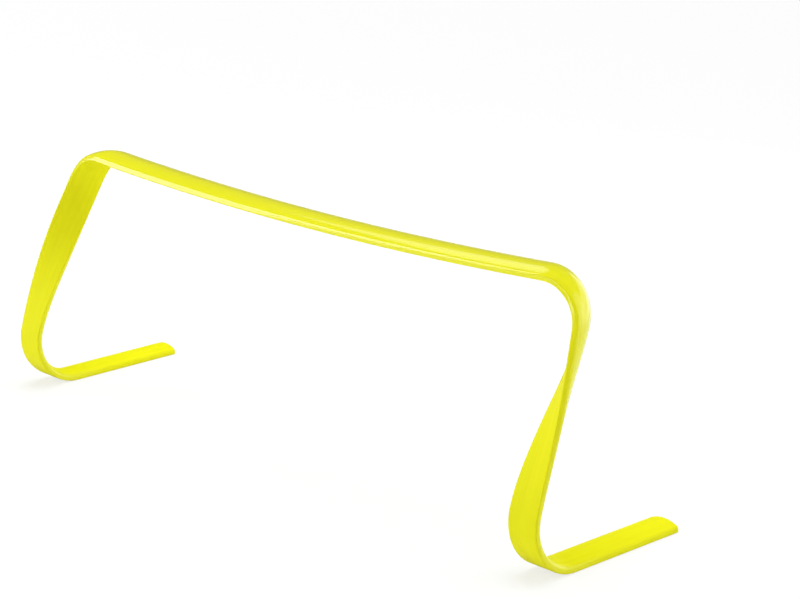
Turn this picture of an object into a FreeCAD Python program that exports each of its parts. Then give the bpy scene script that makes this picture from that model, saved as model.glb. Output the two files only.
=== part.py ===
"""Speed hurdle: one crowned plastic strip bent into a bar, two twisted legs and two feet.

The strip runs foot, heel, leg, corner, bar and back down the other side. Its flat side lies
under the bar and on the floor, its crowned side on top of the bar and of the feet. X runs along
the bar, +Y is where the feet point, +Z is up. The origin is on the floor, in the middle of the
rectangle that the hurdle covers. Lengths are in millimetres, angles in degrees.
"""
import FreeCAD, Part
import math
import os
import Sketcher

Vector = FreeCAD.Vector

SIZES = {
    "strip_width": 20.1,
    "edge_thickness": 4.2,
    "crown_rise": 1.7,
    "edge_round": 2.2,
    "underside_round": 0.9,
    "bar_length": 368.0,
    "bar_sag": 5.3,
    "bar_height": 143.7,
    "bar_setback": 50.0,
    "bar_roll": 2.9,
    "corner_radius": 19.1,
    "corner_angle": 98.4,
    "corner_slant": 28.5,
    "bend_clearance": 1.6,
    "leg_top_pull": 71.3,
    "leg_bottom_pull": 80.0,
    "leg_lean": 15.9,
    "twist_lead": 22.0,
    "heel_radius": 29.1,
    "foot_outset": 38.3,
    "foot_length": 77.1,
    "tip_round": 1.0,
}
LEAD_STATIONS = 2
BEND_STATIONS = 7
LEG_STATIONS = 9
SIDES = {"left": -1, "right": 1}

doc = FreeCAD.newDocument("speed_hurdle")
sheet = doc.addObject("Spreadsheet::Sheet", "Sizes")
for row, (alias, value) in enumerate(SIZES.items(), start=1):
    sheet.set(f"A{row}", alias)
    sheet.set(f"B{row}", str(value))
    sheet.setAlias(f"B{row}", alias)
doc.recompute()


def size(alias):
    """A driving dimension as the sheet holds it."""
    return float(sheet.get(alias))


def angle(alias):
    """A driving angle in radians."""
    return math.radians(size(alias))


half_strip = size("strip_width") / 2
crown_thickness = size("edge_thickness") + size("crown_rise")
half_bar = size("bar_length") / 2
bar_end_angle = 2 * math.atan(size("bar_sag") / half_bar)
half_depth = (size("heel_radius") + size("foot_length")) / 2
bar_y = size("bar_setback") - half_depth
heel_y = size("heel_radius") - half_depth
foot_x = half_bar + size("foot_outset")
lead_length = half_strip * math.tan(angle("corner_slant")) + size("bend_clearance")


def profile_arcs(half_width):
    """Centre heights and radius of the crown and the angle where the edge rounding meets it."""
    flank_top = size("edge_thickness") - size("edge_round")
    reach = half_width - size("edge_round")
    rise = crown_thickness - flank_top
    radius = (reach ** 2 + rise ** 2 - size("edge_round") ** 2) / (2 * size("crown_rise"))
    centre = crown_thickness - radius
    return flank_top, reach, centre, radius, math.atan2(flank_top - centre, reach)


def draw_profile(sketch, slant_share=0):
    """Cross section of the strip: x across, y from the flat underside up to the crown.

    A section that is turned by a share of the corner's slant is wider than the strip.
    """
    half_width = half_strip / math.cos(angle("corner_slant") * slant_share)
    flank_top, reach, centre, radius, meet = profile_arcs(half_width)
    low = size("underside_round")
    inner = half_width - low
    normal = Vector(0, 0, 1)

    def arc(x, y, arc_radius, start, end):
        return Part.ArcOfCircle(Part.Circle(Vector(x, y, 0), normal, arc_radius), start, end)

    def line(x1, y1, x2, y2):
        return Part.LineSegment(Vector(x1, y1, 0), Vector(x2, y2, 0))

    right, top, left, bottom = 0, math.pi / 2, math.pi, 3 * math.pi / 2
    base = sketch.addGeometry(line(-inner, 0, inner, 0))
    low_right = sketch.addGeometry(arc(inner, low, low, bottom, 2 * math.pi))
    flank_right = sketch.addGeometry(line(half_width, low, half_width, flank_top))
    edge_right = sketch.addGeometry(arc(reach, flank_top, size("edge_round"), right, meet))
    crown = sketch.addGeometry(arc(0, centre, radius, meet, left - meet))
    edge_left = sketch.addGeometry(arc(-reach, flank_top, size("edge_round"), left - meet, left))
    flank_left = sketch.addGeometry(line(-half_width, flank_top, -half_width, low))
    low_left = sketch.addGeometry(arc(-inner, low, low, left, bottom))
    peak = sketch.addGeometry(Part.Point(Vector(0, crown_thickness, 0)), True)
    ring = [base, low_right, flank_right, edge_right, crown, edge_left, flank_left, low_left]
    for before, after in zip(ring, ring[1:] + ring[:1]):
        sketch.addConstraint(Sketcher.Constraint("Tangent", before, 2, after, 1))
    origin, across, upright = -1, -1, -2
    sketch.addConstraint(Sketcher.Constraint("PointOnObject", base, 1, across))
    sketch.addConstraint(Sketcher.Constraint("Symmetric", base, 1, base, 2, upright))
    sketch.addConstraint(Sketcher.Constraint("Vertical", flank_right))
    sketch.addConstraint(Sketcher.Constraint("Vertical", flank_left))
    sketch.addConstraint(Sketcher.Constraint("Equal", low_right, low_left))
    sketch.addConstraint(Sketcher.Constraint("Equal", edge_right, edge_left))
    sketch.addConstraint(Sketcher.Constraint("PointOnObject", crown, 3, upright))
    sketch.addConstraint(Sketcher.Constraint("PointOnObject", peak, 1, upright))
    sketch.addConstraint(Sketcher.Constraint("PointOnObject", peak, 1, crown))
    width_formula = f"Sizes.strip_width / 2 / cos(Sizes.corner_slant * {slant_share})"
    dimensions = [
        ("Radius", (low_right, low), "Sizes.underside_round"),
        ("Radius", (edge_right, size("edge_round")), "Sizes.edge_round"),
        ("DistanceX", (origin, 1, flank_right, 1, half_width), width_formula),
        ("DistanceY", (origin, 1, flank_right, 2, flank_top), "Sizes.edge_thickness - Sizes.edge_round"),
        ("DistanceY", (origin, 1, peak, 1, crown_thickness), "Sizes.edge_thickness + Sizes.crown_rise"),
    ]
    for kind, values, formula in dimensions:
        number = sketch.addConstraint(Sketcher.Constraint(kind, *values))
        sketch.setExpression(f"Constraints[{number}]", formula)


def profile_sketch(body, name, plane, offset=FreeCAD.Placement(), slant_share=0):
    """A cross section on one of the body's own planes, moved from it by an offset."""
    sketch = body.newObject("Sketcher::SketchObject", name)
    support = next(item for item in body.Origin.OriginFeatures if item.Role == plane)
    sketch.AttachmentSupport = [(support, "")]
    sketch.MapMode = "FlatFace"
    sketch.AttachmentOffset = offset
    draw_profile(sketch, slant_share)
    return sketch


def add_axis(sketch, height, formula):
    """A line across the sketch at a height, for the profile to turn about."""
    ends = Vector(-half_strip, height, 0), Vector(half_strip, height, 0)
    axis = sketch.addGeometry(Part.LineSegment(*ends), True)
    sketch.addConstraint(Sketcher.Constraint("Symmetric", axis, 1, axis, 2, -2))
    for kind, values, rule in (
        ("DistanceY", (-1, 1, axis, 1, height), formula),
        ("DistanceX", (axis, 1, axis, 2, size("strip_width")), "Sizes.strip_width"),
    ):
        number = sketch.addConstraint(Sketcher.Constraint(kind, *values))
        sketch.setExpression(f"Constraints[{number}]", rule)


def new_body(label, place):
    """A sub-part with its own label and place."""
    body = doc.addObject("PartDesign::Body", label)
    body.Label = label
    body.Placement = place
    return body


def turned_strip(body, plane, height, formula, turn_formula, **settings):
    """A stretch of strip bent to an even curve about a line across it."""
    sketch = profile_sketch(body, f"{body.Label}_profile", plane)
    add_axis(sketch, height, formula)
    doc.recompute()
    bend = body.newObject("PartDesign::Revolution", f"{body.Label}_bend")
    bend.Profile = sketch
    bend.ReferenceAxis = (sketch, ["Axis0"])
    for name, value in settings.items():
        setattr(bend, name, value)
    bend.setExpression("Angle", turn_formula)
    return body


def section_place(point, along, crown):
    """Place of a cross section: x across the strip, y to its crown, z along it."""
    return FreeCAD.Placement(point, FreeCAD.Rotation(crown.cross(along), crown, along, "ZXY"))


def on_bar(vector):
    """A direction given on the level bar, turned with the bar's roll to the front."""
    return FreeCAD.Rotation(Vector(1, 0, 0), size("bar_roll")).multVec(vector)


def bar_point(vector):
    """A point measured from the middle of the line through the ends of the bar's underside."""
    return Vector(0, bar_y, size("bar_height")) + on_bar(vector)


def corner_frame(side, share):
    """Point, direction and crown of the strip at a share of a corner's bend.

    The strip wraps a round former at a slant, so that the leg leaves the corner to the front:
    it turns about the former's axis and slides along it, as on a screw thread.
    """
    turn = share * angle("corner_angle")
    slant = angle("corner_slant")
    along = Vector(math.cos(bar_end_angle), 0, math.sin(bar_end_angle))
    crown = Vector(-math.sin(bar_end_angle), 0, math.cos(bar_end_angle))
    across = crown.cross(along)
    axis = across * math.cos(slant) - along * math.sin(slant)
    ahead = along * math.cos(slant) + across * math.sin(slant)
    outward = crown * math.cos(turn) + ahead * math.sin(turn)
    forward = ahead * math.cos(turn) - crown * math.sin(turn)
    slide = size("corner_radius") * math.tan(slant) * turn
    start = Vector(half_bar, 0, 0) + along * lead_length
    point = start + (outward - crown) * size("corner_radius") - axis * slide
    heading = forward * math.cos(slant) - axis * math.sin(slant)
    mirrored = [Vector(side * item.x, item.y, item.z) for item in (point, heading, outward)]
    return bar_point(mirrored[0]), on_bar(mirrored[1]), on_bar(mirrored[2])


def heel_top(side):
    """Point and direction of the strip where the leg meets the heel bend."""
    lean = angle("leg_lean")
    radius = size("heel_radius")
    point = Vector(side * foot_x, heel_y - radius * math.cos(lean), radius + radius * math.sin(lean))
    return point, Vector(0, -math.sin(lean), -math.cos(lean))


def leg_frame(side, share):
    """Point, direction and crown of the strip at a share of a leg.

    The middle line is a cubic that leaves the corner and enters the heel in their directions.
    The crown turns a quarter round it, from the outside of the corner to the back of the heel,
    and has a lead at the top, where the corner is already turning it.
    """
    start, start_along, start_crown = corner_frame(side, 1)
    end, end_along = heel_top(side)
    leave = start_along * size("leg_top_pull")
    arrive = end_along * size("leg_bottom_pull")
    ease = share * share * (3 - 2 * share)
    point = (
        start * (1 - ease)
        + end * ease
        + leave * (share * (1 - share) ** 2)
        - arrive * (share ** 2 * (1 - share))
    )
    along = (
        (end - start) * (6 * share * (1 - share))
        + leave * ((1 - share) * (1 - 3 * share))
        + arrive * (share * (3 * share - 2))
    ).normalize()

    def crown_axes(direction):
        back = (Vector(0, 1, 0) - direction * direction.y).normalize()
        return direction.cross(back) * side, back

    start_out, start_back = crown_axes(start_along)
    first = math.atan2(start_crown.dot(start_back), start_crown.dot(start_out))
    lead = angle("twist_lead") * share * (1 - share) ** 2
    twist = first + (math.pi / 2 - first) * ease + lead
    out, back = crown_axes(along)
    return point, along, out * math.cos(twist) + back * math.sin(twist)


def slanted(side, along, crown, slant_share):
    """Normal of a section that is turned in the strip's plane by a share of the corner's slant."""
    turn = angle("corner_slant") * slant_share
    return along * math.cos(turn) + crown.cross(along) * (side * math.sin(turn))


def corner_sections(side):
    """Sections of a corner: square on the bar's end, swung to the former's slant, then round it."""
    start, along, crown = corner_frame(side, 0)
    sections = []
    for number in range(LEAD_STATIONS):
        share = number / LEAD_STATIONS
        sections.append((start - along * (lead_length * (1 - share)), along, crown, share))
    for number in range(BEND_STATIONS):
        sections.append((*corner_frame(side, number / (BEND_STATIONS - 1)), 1))
    return sections


def leg_sections(side):
    """Sections of a leg, swung back from the former's slant to square at the heel."""
    shares = [number / (LEG_STATIONS - 1) for number in range(LEG_STATIONS)]
    return [(*leg_frame(side, share), (1 - share) ** 2) for share in shares]


def lofted_strip(label, side, sections):
    """A stretch of strip through its sections."""
    origin = sections[0][0]
    body = new_body(label, FreeCAD.Placement(origin, FreeCAD.Rotation()))
    sketches = []
    for number, (point, along, crown, slant_share) in enumerate(sections):
        place = section_place(point - origin, slanted(side, along, crown, slant_share), crown)
        name = f"{label}_section_{number}"
        sketches.append(profile_sketch(body, name, "XY_Plane", place, slant_share))
    doc.recompute()
    loft = body.newObject("PartDesign::AdditiveLoft", f"{label}_loft")
    loft.Profile = sketches[0]
    loft.Sections = sketches[1:]
    return body


def make_crossbar():
    """The bar, an even shallow curve that hangs lowest in the middle."""
    place = FreeCAD.Placement(bar_point(Vector(0, 0, -size("bar_sag"))),
                              FreeCAD.Rotation(Vector(1, 0, 0), size("bar_roll")))
    sag_radius = (half_bar ** 2 + size("bar_sag") ** 2) / (2 * size("bar_sag"))
    formula = "Sizes.bar_length ^ 2 / (8 * Sizes.bar_sag) + Sizes.bar_sag / 2"
    turn_formula = "4 * atan(2 * Sizes.bar_sag / Sizes.bar_length)"
    body = new_body("crossbar", place)
    return turned_strip(body, "YZ_Plane", sag_radius, formula, turn_formula, Midplane=True)


def make_heel(name, side):
    """The bend between foot and leg, flat side outward."""
    body = new_body(f"{name}_heel", FreeCAD.Placement(Vector(side * foot_x, heel_y, 0), FreeCAD.Rotation()))
    return turned_strip(body, "XZ_Plane", size("heel_radius"), "Sizes.heel_radius",
                        "90 + Sizes.leg_lean", Reversed=True)


def make_foot(name, side):
    """The straight end that lies on the floor, the rim of its cut end rounded over."""
    label = f"{name}_foot"
    body = new_body(label, FreeCAD.Placement(Vector(side * foot_x, heel_y, 0), FreeCAD.Rotation()))
    sketch = profile_sketch(body, f"{label}_profile", "XZ_Plane")
    doc.recompute()
    pad = body.newObject("PartDesign::Pad", f"{label}_pad")
    pad.Profile = sketch
    pad.Reversed = True
    pad.setExpression("Length", "Sizes.foot_length")
    doc.recompute()
    rim = [f"Edge{number}" for number, edge in enumerate(pad.Shape.Edges, start=1)
           if edge.BoundBox.YMin > size("foot_length") - size("tip_round")]
    rounding = body.newObject("PartDesign::Fillet", f"{label}_tip")
    rounding.Base = (pad, rim)
    rounding.setExpression("Radius", "Sizes.tip_round")
    return body


bodies = [make_crossbar()]
for name, side in SIDES.items():
    bodies.append(lofted_strip(f"{name}_corner", side, corner_sections(side)))
    bodies.append(lofted_strip(f"{name}_leg", side, leg_sections(side)))
    bodies.append(make_heel(name, side))
    bodies.append(make_foot(name, side))
doc.recompute()

for item in doc.Objects:
    if "Invalid" in item.State or "Error" in item.State:
        raise RuntimeError(f"{item.Label} failed: {item.State}")
for body in bodies:
    if body.Shape.isNull() or not body.Shape.isValid() or len(body.Shape.Solids) != 1:
        raise RuntimeError(f"{body.Label} is not one valid solid")

os.makedirs("parts", exist_ok=True)
for body in bodies:
    body.Shape.exportStep(f"parts/{body.Label}.step")
    box = body.Shape.optimalBoundingBox()
    print(f"{body.Label}: {body.Shape.Volume:.0f} mm3, "
          f"x {box.XMin:.1f} to {box.XMax:.1f}, y {box.YMin:.1f} to {box.YMax:.1f}, "
          f"z {box.ZMin:.2f} to {box.ZMax:.1f}")
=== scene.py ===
"""Looks of a speed hurdle: one yellow plastic strip bent into a bar, two twisted legs and two feet."""
import math

import bmesh
import bpy
from mathutils import Matrix, Quaternion, Vector


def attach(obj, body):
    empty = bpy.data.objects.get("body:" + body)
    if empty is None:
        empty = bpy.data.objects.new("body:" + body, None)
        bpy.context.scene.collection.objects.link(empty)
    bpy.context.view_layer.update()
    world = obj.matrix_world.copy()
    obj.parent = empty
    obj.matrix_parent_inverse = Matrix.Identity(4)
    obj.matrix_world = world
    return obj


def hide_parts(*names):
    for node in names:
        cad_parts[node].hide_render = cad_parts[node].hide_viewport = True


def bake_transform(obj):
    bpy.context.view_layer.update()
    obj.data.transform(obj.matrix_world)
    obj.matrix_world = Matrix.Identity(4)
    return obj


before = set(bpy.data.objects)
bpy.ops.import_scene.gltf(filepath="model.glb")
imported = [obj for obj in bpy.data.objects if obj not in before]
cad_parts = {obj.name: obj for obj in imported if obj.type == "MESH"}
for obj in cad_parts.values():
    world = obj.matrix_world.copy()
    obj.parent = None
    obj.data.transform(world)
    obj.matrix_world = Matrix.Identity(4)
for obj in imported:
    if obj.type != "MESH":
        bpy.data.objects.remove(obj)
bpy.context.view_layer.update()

# the strip's own sizes, in metres and degrees, as the solids have them
STRIP_WIDTH = 0.0201
EDGE_THICKNESS = 0.0042
CROWN_RISE = 0.0017
EDGE_ROUND = 0.0022
UNDERSIDE_ROUND = 0.0009
BAR_LENGTH = 0.3680
BAR_SAG = 0.0053
BAR_HEIGHT = 0.1437
BAR_SETBACK = 0.0500
BAR_ROLL = math.radians(2.9)
CORNER_RADIUS = 0.0191
CORNER_ANGLE = math.radians(98.4)
CORNER_SLANT = math.radians(28.5)
BEND_CLEARANCE = 0.0016
LEG_TOP_PULL = 0.0713
LEG_BOTTOM_PULL = 0.0800
LEG_LEAN = math.radians(15.9)
TWIST_LEAD = math.radians(22.0)
HEEL_RADIUS = 0.0291
FOOT_OUTSET = 0.0383
FOOT_LENGTH = 0.0771
TIP_ROUND = 0.0010

half_strip = STRIP_WIDTH / 2
crown_thickness = EDGE_THICKNESS + CROWN_RISE
half_bar = BAR_LENGTH / 2
bar_end_angle = 2 * math.atan(BAR_SAG / half_bar)
sag_radius = (half_bar ** 2 + BAR_SAG ** 2) / (2 * BAR_SAG)
half_depth = (HEEL_RADIUS + FOOT_LENGTH) / 2
bar_y = BAR_SETBACK - half_depth
heel_y = HEEL_RADIUS - half_depth
foot_x = half_bar + FOOT_OUTSET
lead_length = half_strip * math.tan(CORNER_SLANT) + BEND_CLEARANCE
bar_turn = Matrix.Rotation(BAR_ROLL, 3, "X")
X, Y, Z = Vector((1, 0, 0)), Vector((0, 1, 0)), Vector((0, 0, 1))


# the strip's course, as places of its cross section
def station(point, along, crown, slant=0.0):
    """Place of a cross section: x across the strip, y to its crown, z along it.

    A section that is turned in the strip's plane by a slant is wider than the strip.
    """
    across = crown.cross(along).normalized()
    along = along.normalized() * math.cos(slant) + across * math.sin(slant)
    across = crown.cross(along).normalized()
    turn = Matrix((across / math.cos(slant), along.cross(across), along)).transposed()
    return Matrix.Translation(point) @ turn.to_4x4()


def on_bar(point, along, crown, slant=0.0):
    """A station given on the level bar, rolled to the front with it and set at its height."""
    place = Vector((0, bar_y, BAR_HEIGHT)) + bar_turn @ point
    return station(place, bar_turn @ along, bar_turn @ crown, slant)


def bar_station(share):
    """The bar at a share of its length from left to right."""
    turn = bar_end_angle * (2 * share - 1)
    along = Vector((math.cos(turn), 0, math.sin(turn)))
    crown = Vector((-math.sin(turn), 0, math.cos(turn)))
    centre = Vector((0, 0, sag_radius - BAR_SAG))
    return on_bar(centre - crown * sag_radius, along, crown)


def corner_parts(side, share):
    """Point, direction away from the bar and crown at a share of a bend, on the level bar."""
    turn = share * CORNER_ANGLE
    along = Vector((math.cos(bar_end_angle), 0, math.sin(bar_end_angle)))
    crown = Vector((-math.sin(bar_end_angle), 0, math.cos(bar_end_angle)))
    across = crown.cross(along)
    axis = across * math.cos(CORNER_SLANT) - along * math.sin(CORNER_SLANT)
    ahead = along * math.cos(CORNER_SLANT) + across * math.sin(CORNER_SLANT)
    outward = crown * math.cos(turn) + ahead * math.sin(turn)
    forward = ahead * math.cos(turn) - crown * math.sin(turn)
    slide = CORNER_RADIUS * math.tan(CORNER_SLANT) * turn
    point = X * half_bar + along * lead_length + (outward - crown) * CORNER_RADIUS - axis * slide
    heading = forward * math.cos(CORNER_SLANT) - axis * math.sin(CORNER_SLANT)
    return [Vector((side * item.x, item.y, item.z)) for item in (point, heading, outward)]


def lead_station(side, share):
    """The flat lead from the bar's end to the bend, its sections swinging to the bend's slant."""
    point, heading, outward = corner_parts(side, 0)
    return on_bar(point - heading * (lead_length * (1 - share)), heading * side, outward,
                  CORNER_SLANT * share * side)


def corner_station(side, share):
    """A corner's bend, wrapped at a slant round a round former; the strip runs left to right."""
    point, heading, outward = corner_parts(side, share)
    return on_bar(point, heading * side, outward, CORNER_SLANT * side)


def leg_station(side, share):
    """A leg from its corner at 0 to its heel at 1, the crown turning a quarter on the way."""
    start, start_along, start_crown = corner_parts(side, 1)
    start = Vector((0, bar_y, BAR_HEIGHT)) + bar_turn @ start
    start_along, start_crown = bar_turn @ start_along, bar_turn @ start_crown
    end_along = Vector((0, -math.sin(LEG_LEAN), -math.cos(LEG_LEAN)))
    end = Vector((side * foot_x, heel_y - HEEL_RADIUS * math.cos(LEG_LEAN),
                  HEEL_RADIUS * (1 + math.sin(LEG_LEAN))))
    leave, arrive = start_along * LEG_TOP_PULL, end_along * LEG_BOTTOM_PULL
    ease = share * share * (3 - 2 * share)
    point = (start * (1 - ease) + end * ease + leave * (share * (1 - share) ** 2)
             - arrive * (share ** 2 * (1 - share)))
    along = ((end - start) * (6 * share * (1 - share)) + leave * ((1 - share) * (1 - 3 * share))
             + arrive * (share * (3 * share - 2))).normalized()

    def crown_axes(direction):
        """Outwards and to the rear, both square to the strip's direction."""
        back = (Y - direction * direction.y).normalized()
        return direction.cross(back) * side, back

    start_out, start_back = crown_axes(start_along)
    first = math.atan2(start_crown.dot(start_back), start_crown.dot(start_out))
    twist = first + (math.pi / 2 - first) * ease + TWIST_LEAD * share * (1 - share) ** 2
    out, back = crown_axes(along)
    slant = CORNER_SLANT * (1 - share) ** 2 * side
    return station(point, along * side, out * math.cos(twist) + back * math.sin(twist), slant)


def heel_station(side, share):
    """A heel bend from the leg at 0 to the foot at 1; the strip runs from left foot to right foot."""
    turn = (1 - share) * (math.pi / 2 + LEG_LEAN)
    crown = Vector((0, math.sin(turn), math.cos(turn)))
    centre = Vector((side * foot_x, heel_y, HEEL_RADIUS))
    along = Vector((0, math.cos(turn), -math.sin(turn)))
    return station(centre - crown * HEEL_RADIUS, along * side, crown)


def foot_station(side, share):
    """A foot from the heel at 0 to its tip at 1."""
    return station(Vector((side * foot_x, heel_y + FOOT_LENGTH * share, 0)), Y * side, Z)


# drawing the strip in edit mode
def deselect_all():
    """Nothing stays selected, in object mode."""
    for item in bpy.context.selected_objects:
        item.select_set(False)
    bpy.context.view_layer.objects.active = None


def edit_mesh():
    """The mesh that is being edited."""
    return bmesh.from_edit_mesh(bpy.context.edit_object.data)


def pick_verts(test):
    """Selects the vertices that a test on their place accepts."""
    bpy.ops.mesh.select_mode(type="VERT")
    bpy.ops.mesh.select_all(action="DESELECT")
    mesh = edit_mesh()
    for vert in mesh.verts:
        vert.select = test(vert.co)
    mesh.select_flush_mode()
    bmesh.update_edit_mesh(bpy.context.edit_object.data)


CROWN_CUTS = 15
EDGE_SEGMENTS = 5
UNDERSIDE_SEGMENTS = 4
TIP_SEGMENTS = 4
SMOOTH_ANGLE = math.radians(40)
NEAR = 1e-6


def crown_corner():
    """Height at which crown and flank would meet in a sharp edge, and how far its rounding reaches."""
    flank_top = EDGE_THICKNESS - EDGE_ROUND
    reach = half_strip - EDGE_ROUND
    rise = crown_thickness - flank_top
    radius = (reach ** 2 + rise ** 2 - EDGE_ROUND ** 2) / (2 * CROWN_RISE)
    drop = radius - math.sqrt(radius ** 2 - half_strip ** 2)
    slope = math.asin(half_strip / radius)
    return crown_thickness - drop, EDGE_ROUND * math.tan(math.pi / 4 - slope / 2)


def draw_profile(name):
    """The strip's cross section as one face in the XY plane: flat side at y 0, crown on top."""
    corner_height, edge_cut = crown_corner()
    bpy.ops.mesh.primitive_plane_add(size=1, location=(0, 0, 0))
    piece = bpy.context.object
    piece.name = piece.data.name = name
    bpy.ops.object.mode_set(mode="EDIT")
    bpy.ops.transform.translate(value=(0, 0.5, 0))
    bpy.ops.transform.resize(value=(STRIP_WIDTH, corner_height, 1), center_override=(0, 0, 0))
    pick_verts(lambda co: co.y > corner_height - NEAR)
    bpy.ops.mesh.subdivide(number_cuts=CROWN_CUTS)
    pick_verts(lambda co: co.y > corner_height - NEAR and abs(co.x) < NEAR)
    bpy.ops.transform.translate(value=(0, crown_thickness - corner_height, 0), use_proportional_edit=True,
                                proportional_edit_falloff="INVERSE_SQUARE", proportional_size=half_strip)
    pick_verts(lambda co: abs(co.x) > half_strip - NEAR and co.y > corner_height / 2)
    bpy.ops.mesh.bevel(offset=edge_cut, offset_type="OFFSET", segments=EDGE_SEGMENTS, affect="VERTICES")
    pick_verts(lambda co: abs(co.x) > half_strip - NEAR and co.y < NEAR)
    bpy.ops.mesh.bevel(offset=UNDERSIDE_ROUND, offset_type="OFFSET", segments=UNDERSIDE_SEGMENTS,
                       affect="VERTICES")
    mesh = edit_mesh()
    place = mesh.verts.layers.float_vector.new("strip_place")
    for vert in mesh.verts:
        vert[place] = vert.co
    bpy.ops.mesh.select_all(action="SELECT")
    bpy.ops.mesh.select_mode(type="FACE")
    return piece


def turn_ring(turn, centre):
    """Turns the selected section about a point; without a window the operator turns the other way."""
    for axis, value in zip("XYZ", turn.to_euler("XYZ")):
        if abs(value) > NEAR:
            bpy.ops.transform.rotate(value=-value, orient_axis=axis, orient_type="GLOBAL",
                                     center_override=centre)


def mark_ring(reach):
    """Writes how far along the strip the selected section is."""
    mesh = edit_mesh()
    place = mesh.verts.layers.float_vector["strip_place"]
    for vert in mesh.verts:
        if vert.select:
            vert[place] = Vector((vert[place].x, vert[place].y, reach))


def draw_strip(name, stations, reach, heading=1):
    """A stretch of strip: its cross section, extruded and turned from station to station.

    The reach along the whole strip grows from station to station, or shrinks where the heading is -1.
    """
    deselect_all()
    piece = draw_profile(name)
    here = stations[0]
    turn_ring(here.to_3x3().normalized(), (0, 0, 0))
    bpy.ops.transform.translate(value=here.to_translation())
    mark_ring(reach)
    for there in stations[1:]:
        centre = there.to_translation()
        step = centre - here.to_translation()
        bpy.ops.mesh.extrude_region_move(TRANSFORM_OT_translate={"value": step})
        turn_ring(here.to_3x3().normalized().transposed(), centre)
        widening = there.col[0].length / here.col[0].length
        bpy.ops.transform.resize(value=(widening, 1, 1), center_override=centre)
        turn_ring(there.to_3x3().normalized(), centre)
        reach += heading * step.length
        mark_ring(reach)
        here = there
    return piece, reach


def close_strip(piece, *materials):
    """Faces out, smooth shading with flat faces kept flat, and the piece's materials."""
    bpy.ops.mesh.select_all(action="SELECT")
    bpy.ops.mesh.normals_make_consistent(inside=False)
    bpy.ops.object.mode_set(mode="OBJECT")
    bpy.ops.object.shade_smooth_by_angle(angle=SMOOTH_ANGLE)
    bpy.ops.object.modifier_add(type="WEIGHTED_NORMAL")
    piece.modifiers[-1].keep_sharp = True
    bpy.ops.object.modifier_apply(modifier=piece.modifiers[-1].name)
    for material in materials:
        piece.data.materials.append(material)


# materials
# a colour Mix node's sockets by number, since their names repeat
MIX_SHARE, MIX_FIRST, MIX_SECOND, MIX_RESULT = 0, 6, 7, 2


def empty_tree(holder):
    """Turns on the nodes of a material or world and clears them."""
    holder.use_nodes = True
    holder.node_tree.nodes.clear()
    return holder.node_tree.nodes, holder.node_tree.links


def new_material(name):
    """A material with its output and a Principled shader joined to it."""
    material = bpy.data.materials.new(name)
    nodes, links = empty_tree(material)
    output = nodes.new("ShaderNodeOutputMaterial")
    shader = nodes.new("ShaderNodeBsdfPrincipled")
    links.new(shader.outputs["BSDF"], output.inputs["Surface"])
    return material, nodes, links, shader


def mix_colours(nodes, links, share, first, second):
    """A colour between two, by a share that another node gives."""
    mix = nodes.new("ShaderNodeMix")
    mix.data_type = "RGBA"
    mix.inputs[MIX_FIRST].default_value = first
    mix.inputs[MIX_SECOND].default_value = second
    links.new(share, mix.inputs[MIX_SHARE])
    return mix.outputs[MIX_RESULT]


def add_noise(nodes, links, place, scale, detail, roughness=0.5):
    """Noise over a place, with its own scale along each axis."""
    mapping = nodes.new("ShaderNodeMapping")
    mapping.inputs["Scale"].default_value = scale
    links.new(place, mapping.inputs["Vector"])
    texture = nodes.new("ShaderNodeTexNoise")
    texture.inputs["Scale"].default_value = 1.0
    texture.inputs["Detail"].default_value = detail
    texture.inputs["Roughness"].default_value = roughness
    links.new(mapping.outputs["Vector"], texture.inputs["Vector"])
    return texture.outputs["Fac"]


def add_bump(nodes, links, shader, height, strength, depth):
    """Gives a shader a fine relief."""
    bump = nodes.new("ShaderNodeBump")
    bump.inputs["Strength"].default_value = strength
    bump.inputs["Distance"].default_value = depth
    links.new(height, bump.inputs["Height"])
    links.new(bump.outputs["Normal"], shader.inputs["Normal"])


# marks per metre across the strip, over its flat side and along it, and the relief of each kind
STREAKS = (420, 420, 7)
LINES = (2600, 2600, 14)
WAVES = (120, 120, 45)
STREAK_RELIEF = 1.1
LINE_RELIEF = 0.03
WAVE_RELIEF = 0.5
RELIEF_DEPTH = 0.0004
STREAK_RANGE = (0.3, 0.7)
# metres over the flat side where the gloss sets in, and past the legs where it fades out
GLOSS_HEIGHT = (0.0003, 0.0012)
CROWN_FADE = (0.008, 0.024)
EDGE_FADE = (0.045, 0.075)


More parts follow.
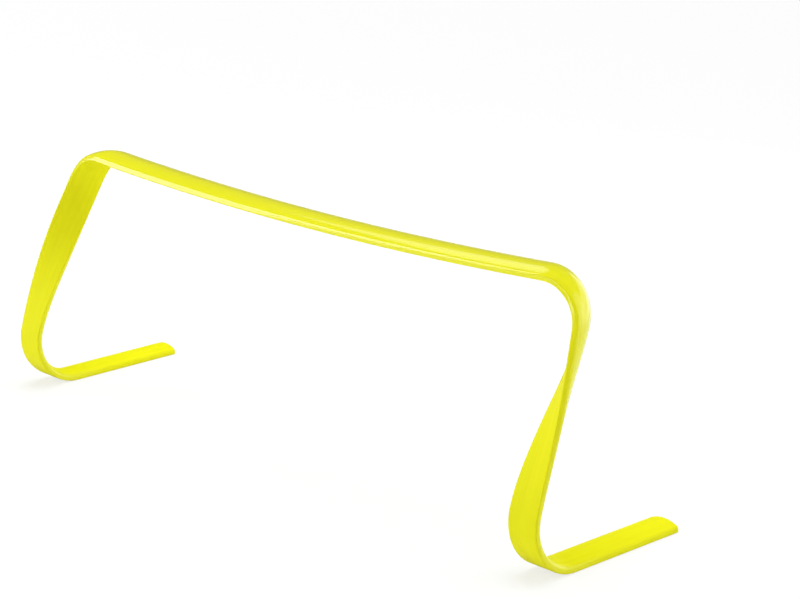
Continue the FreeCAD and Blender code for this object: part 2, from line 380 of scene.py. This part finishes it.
def extrusion_group(frame_reach):
    """Marks that the die leaves along the strip, and where the strip is glossy.

    The crown shines as far as the heels, and the rounded edges as far as the feet.
    """
    group = bpy.data.node_groups.new("extrusion_marks", "ShaderNodeTree")
    for socket in ("Streaks", "Height", "Gloss"):
        group.interface.new_socket(socket, in_out="OUTPUT", socket_type="NodeSocketFloat")
    nodes, links = group.nodes, group.links
    output = nodes.new("NodeGroupOutput")
    attribute = nodes.new("ShaderNodeAttribute")
    attribute.attribute_name = "strip_place"
    place = attribute.outputs["Vector"]
    parts = nodes.new("ShaderNodeSeparateXYZ")
    links.new(place, parts.inputs["Vector"])

    def ramp(value, low, high):
        limits = nodes.new("ShaderNodeMapRange")
        limits.inputs["From Min"].default_value = low
        limits.inputs["From Max"].default_value = high
        links.new(value, limits.inputs["Value"])
        return limits.outputs["Result"]

    def combine(operation, first, second=0.0):
        step = nodes.new("ShaderNodeMath")
        step.operation = operation
        for socket, value in zip(step.inputs, (first, second)):
            if isinstance(value, float):
                socket.default_value = value
            else:
                links.new(value, socket)
        return step.outputs["Value"]

    streaks = add_noise(nodes, links, place, STREAKS, detail=3, roughness=0.55)
    lines = add_noise(nodes, links, place, LINES, detail=2, roughness=0.6)
    waves = add_noise(nodes, links, place, WAVES, detail=1, roughness=0.4)
    coarse = combine("MULTIPLY", streaks, STREAK_RELIEF)
    fine = combine("ADD", coarse, combine("MULTIPLY", lines, LINE_RELIEF))
    links.new(combine("ADD", combine("MULTIPLY", waves, WAVE_RELIEF), fine), output.inputs["Height"])
    links.new(ramp(streaks, *STREAK_RANGE), output.inputs["Streaks"])

    from_bar_middle = combine("ABSOLUTE", combine("SUBTRACT", parts.outputs["Z"], frame_reach / 2))
    past_leg = combine("SUBTRACT", from_bar_middle, frame_reach / 2)
    above_heel = combine("SUBTRACT", 1.0, ramp(past_leg, *CROWN_FADE))
    above_foot = combine("SUBTRACT", 1.0, ramp(past_leg, *EDGE_FADE))
    from_centre_line = combine("ABSOLUTE", parts.outputs["X"])
    edge = ramp(from_centre_line, half_strip - EDGE_ROUND, half_strip - EDGE_ROUND / 2)
    shine = combine("MAXIMUM", above_heel, combine("MULTIPLY", edge, above_foot))
    off_flat_side = ramp(parts.outputs["Y"], *GLOSS_HEIGHT)
    links.new(combine("MULTIPLY", off_flat_side, shine), output.inputs["Gloss"])
    return group


DEEP_YELLOW = (0.805, 0.79, 0.003, 1)
BRIGHT_YELLOW = (0.845, 0.83, 0.006, 1)


def strip_material(frame_reach):
    """Lemon yellow satin plastic with lengthwise marks, under a coat of gloss where the strip shines."""
    material, nodes, links, shader = new_material("yellow_plastic")
    marks = nodes.new("ShaderNodeGroup")
    marks.node_tree = extrusion_group(frame_reach)
    tint = mix_colours(nodes, links, marks.outputs["Streaks"], DEEP_YELLOW, BRIGHT_YELLOW)
    links.new(tint, shader.inputs["Base Color"])
    satin = nodes.new("ShaderNodeMapRange")
    satin.inputs["To Min"].default_value = 0.60
    satin.inputs["To Max"].default_value = 0.70
    links.new(marks.outputs["Streaks"], satin.inputs["Value"])
    links.new(satin.outputs["Result"], shader.inputs["Roughness"])
    links.new(marks.outputs["Gloss"], shader.inputs["Coat Weight"])
    add_bump(nodes, links, shader, marks.outputs["Height"], strength=0.8, depth=RELIEF_DEPTH)
    shader.inputs["IOR"].default_value = 1.38
    shader.inputs["Specular IOR Level"].default_value = 0.2
    shader.inputs["Coat IOR"].default_value = 1.34
    shader.inputs["Coat Roughness"].default_value = 0.12
    return material


SAW_LINES = (60, 60, 3500)
SAW_DEPTH = 0.0001
DULL_YELLOW = (0.74, 0.725, 0.02, 1)
PALE_YELLOW = (0.80, 0.785, 0.06, 1)


def sawn_material():
    """Dull paler yellow of a sawn end, with fine saw lines across it."""
    material, nodes, links, shader = new_material("sawn_plastic")
    place = nodes.new("ShaderNodeTexCoord").outputs["Object"]
    lines = add_noise(nodes, links, place, SAW_LINES, detail=2)
    tint = mix_colours(nodes, links, lines, DULL_YELLOW, PALE_YELLOW)
    links.new(tint, shader.inputs["Base Color"])
    add_bump(nodes, links, shader, lines, strength=0.5, depth=SAW_DEPTH)
    shader.inputs["Roughness"].default_value = 0.55
    return material


# sections per stretch of strip
LEG_STEPS = 30
BEND_STEPS = 24
LEAD_STEPS = 4
BAR_STEPS = 48
HEEL_STEPS = 36
FOOT_STEPS = 8


def shares(steps):
    """Even shares from 0 to 1, without the first."""
    return [number / steps for number in range(1, steps + 1)]


# the frame: leg, corner, bar, corner and leg in one run from left to right
frame_run = [leg_station(-1, 1)]
frame_run += [leg_station(-1, 1 - share) for share in shares(LEG_STEPS)]
frame_run += [corner_station(-1, 1 - share) for share in shares(BEND_STEPS)]
frame_run += [lead_station(-1, 1 - share) for share in shares(LEAD_STEPS)]
frame_run += [bar_station(share) for share in shares(BAR_STEPS)]
frame_run += [lead_station(1, share) for share in shares(LEAD_STEPS)]
frame_run += [corner_station(1, share) for share in shares(BEND_STEPS)]
frame_run += [leg_station(1, share) for share in shares(LEG_STEPS)]
strip_frame, frame_reach = draw_strip("strip_frame", frame_run, 0.0)
yellow_plastic = strip_material(frame_reach)
sawn_plastic = sawn_material()
close_strip(strip_frame, yellow_plastic)
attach(strip_frame, "frame")
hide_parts("crossbar", "left_corner", "right_corner", "left_leg", "right_leg")

# each heel with its foot, from the leg down
for name, side, leg_reach in (("left", -1, 0.0), ("right", 1, frame_reach)):
    run = [heel_station(side, 0)]
    run += [heel_station(side, share) for share in shares(HEEL_STEPS)]
    run += [foot_station(side, share) for share in shares(FOOT_STEPS)]
    piece, _ = draw_strip(f"{name}_heel_and_foot", run, leg_reach, heading=side)
    bpy.ops.mesh.region_to_loop()
    bpy.ops.mesh.bevel(offset=TIP_ROUND, offset_type="OFFSET", segments=TIP_SEGMENTS, affect="EDGES")
    pick_verts(lambda co: co.y > heel_y + FOOT_LENGTH - NEAR)
    bpy.ops.mesh.select_mode(type="FACE")
    for face in edit_mesh().faces:
        face.material_index = int(face.select)
    close_strip(piece, yellow_plastic, sawn_plastic)
    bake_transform(piece)
    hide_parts(f"{name}_heel", f"{name}_foot")


# floor and background
FLOOR_SIZE = 30
FLOOR_GREY = (0.82, 0.82, 0.82, 1)
FLOOR_PALE = (0.96, 0.96, 0.96, 1)
FLOOR_WHITENING = 0.7
WHITE = (1, 1, 1, 1)
SURROUND_LEVEL = 0.13
BACKDROP_LEVEL = 1.0


def floor_material():
    """Pale floor, whitened for the camera only, which keeps the object's shadow."""
    material = bpy.data.materials.new("studio_floor")
    nodes, links = empty_tree(material)
    output = nodes.new("ShaderNodeOutputMaterial")
    seen = nodes.new("ShaderNodeLightPath").outputs["Is Camera Ray"]
    matt = nodes.new("ShaderNodeBsdfDiffuse")
    links.new(mix_colours(nodes, links, seen, FLOOR_GREY, FLOOR_PALE), matt.inputs["Color"])
    white = nodes.new("ShaderNodeEmission")
    share = nodes.new("ShaderNodeMath")
    share.operation = "MULTIPLY"
    share.inputs[1].default_value = FLOOR_WHITENING
    links.new(seen, share.inputs[0])
    mix = nodes.new("ShaderNodeMixShader")
    links.new(share.outputs["Value"], mix.inputs["Fac"])
    links.new(matt.outputs["BSDF"], mix.inputs[1])
    links.new(white.outputs["Emission"], mix.inputs[2])
    links.new(mix.outputs["Shader"], output.inputs["Surface"])
    return material


def studio_world():
    """A dim even surround, which the camera sees as plain white."""
    world = bpy.data.worlds.new("studio")
    nodes, links = empty_tree(world)
    output = nodes.new("ShaderNodeOutputWorld")
    path = nodes.new("ShaderNodeLightPath")
    mix = nodes.new("ShaderNodeMixShader")
    links.new(path.outputs["Is Camera Ray"], mix.inputs["Fac"])
    for slot, level in ((1, SURROUND_LEVEL), (2, BACKDROP_LEVEL)):
        background = nodes.new("ShaderNodeBackground")
        background.inputs["Color"].default_value = WHITE
        background.inputs["Strength"].default_value = level
        links.new(background.outputs["Background"], mix.inputs[slot])
    links.new(mix.outputs["Shader"], output.inputs["Surface"])
    return world


deselect_all()
bpy.ops.mesh.primitive_plane_add(size=FLOOR_SIZE, location=(0, 0, 0))
floor = bpy.context.object
floor.name = "floor"
floor.data.materials.append(floor_material())
bpy.context.scene.world = studio_world()


# lamps
def aim(holder, place, target, roll=0):
    """Sets a lamp at a place, facing a target and rolled by some degrees."""
    bpy.context.scene.collection.objects.link(holder)
    holder.location = place
    facing = (Vector(target) - Vector(place)).to_track_quat("-Z", "Y")
    holder.rotation_euler = (facing @ Quaternion(Z, math.radians(roll))).to_euler()


def softbox(name, place, target, width, height, level, roll=0):
    """A soft lamp; its level is how bright its face is next to a white one."""
    lamp = bpy.data.lights.new(name, "AREA")
    lamp.shape = "RECTANGLE"
    lamp.size, lamp.size_y = width, height
    lamp.energy = level * math.pi * width * height
    holder = bpy.data.objects.new(name, lamp)
    holder.visible_camera = False
    aim(holder, place, target, roll)
    return holder


def broad_light(name, place, spread, level):
    """A far soft lamp; its level is what it gives a white face turned to it."""
    lamp = bpy.data.lights.new(name, "SUN")
    lamp.angle = math.radians(spread)
    lamp.energy = math.pi * level
    holder = bpy.data.objects.new(name, lamp)
    aim(holder, place, (0, 0, 0))
    return holder


bar_middle = (0, 0, 0.14)
bar_right = (0.13, 0, 0.15)
corner_right = (0.25, 0, 0.15)
key_light = broad_light("key_light", (-0.12, 0.16, 0.98), spread=44, level=0.58)
key_light.visible_glossy = False
broad_light("side_fill", (0.73, 0.62, 0.28), spread=76, level=0.55)
softbox("front_light", (-0.10, -1.60, 0.80), bar_middle, width=1.7, height=0.3, level=6.6)
softbox("edge_light", (-3.11, -2.18, 1.38), bar_middle, width=0.85, height=2.0, level=8.6, roll=25)
softbox("band_light", (-0.45, 0.30, 0.68), bar_right, width=0.26, height=0.26, level=1.75)
softbox("back_light", (0.25, 0.80, 0.23), corner_right, width=0.9, height=0.44, level=1.1)
# a bright card on the floor, facing up, that only shows as a reflection
floor_card = softbox("floor_card", (-0.60, -0.40, 0.012), (-0.60, -0.40, 1), width=0.50, height=0.34,
                     level=6.0)
floor_card.visible_diffuse = False

# camera
CAMERA_AZIMUTH = math.radians(48.618)
CAMERA_ELEVATION = math.radians(16.105)
CAMERA_ROLL = math.radians(-1.168)
CAMERA_TARGET = Vector((0.013767, 0.053139, 0.083567))
CAMERA_DISTANCE = 1.369812
FOCAL_PIXELS = 2345.3
PICTURE_WIDTH = 800
SENSOR_WIDTH = 36.0
back = Vector((math.sin(CAMERA_AZIMUTH) * math.cos(CAMERA_ELEVATION),
               -math.cos(CAMERA_AZIMUTH) * math.cos(CAMERA_ELEVATION), math.sin(CAMERA_ELEVATION)))
right = Z.cross(back).normalized()
up = back.cross(right)
tilted_right = right * math.cos(CAMERA_ROLL) + up * math.sin(CAMERA_ROLL)
tilted_up = up * math.cos(CAMERA_ROLL) - right * math.sin(CAMERA_ROLL)
camera_data = bpy.data.cameras.new("camera")
camera_data.sensor_fit = "HORIZONTAL"
camera_data.sensor_width = SENSOR_WIDTH
camera_data.lens = FOCAL_PIXELS / PICTURE_WIDTH * SENSOR_WIDTH
camera = bpy.data.objects.new("camera", camera_data)
bpy.context.scene.collection.objects.link(camera)
camera.matrix_world = (Matrix.Translation(CAMERA_TARGET + back * CAMERA_DISTANCE)
                       @ Matrix((tilted_right, tilted_up, back)).transposed().to_4x4())
bpy.context.scene.camera = camera
bpy.context.scene.view_settings.view_transform = "Standard"
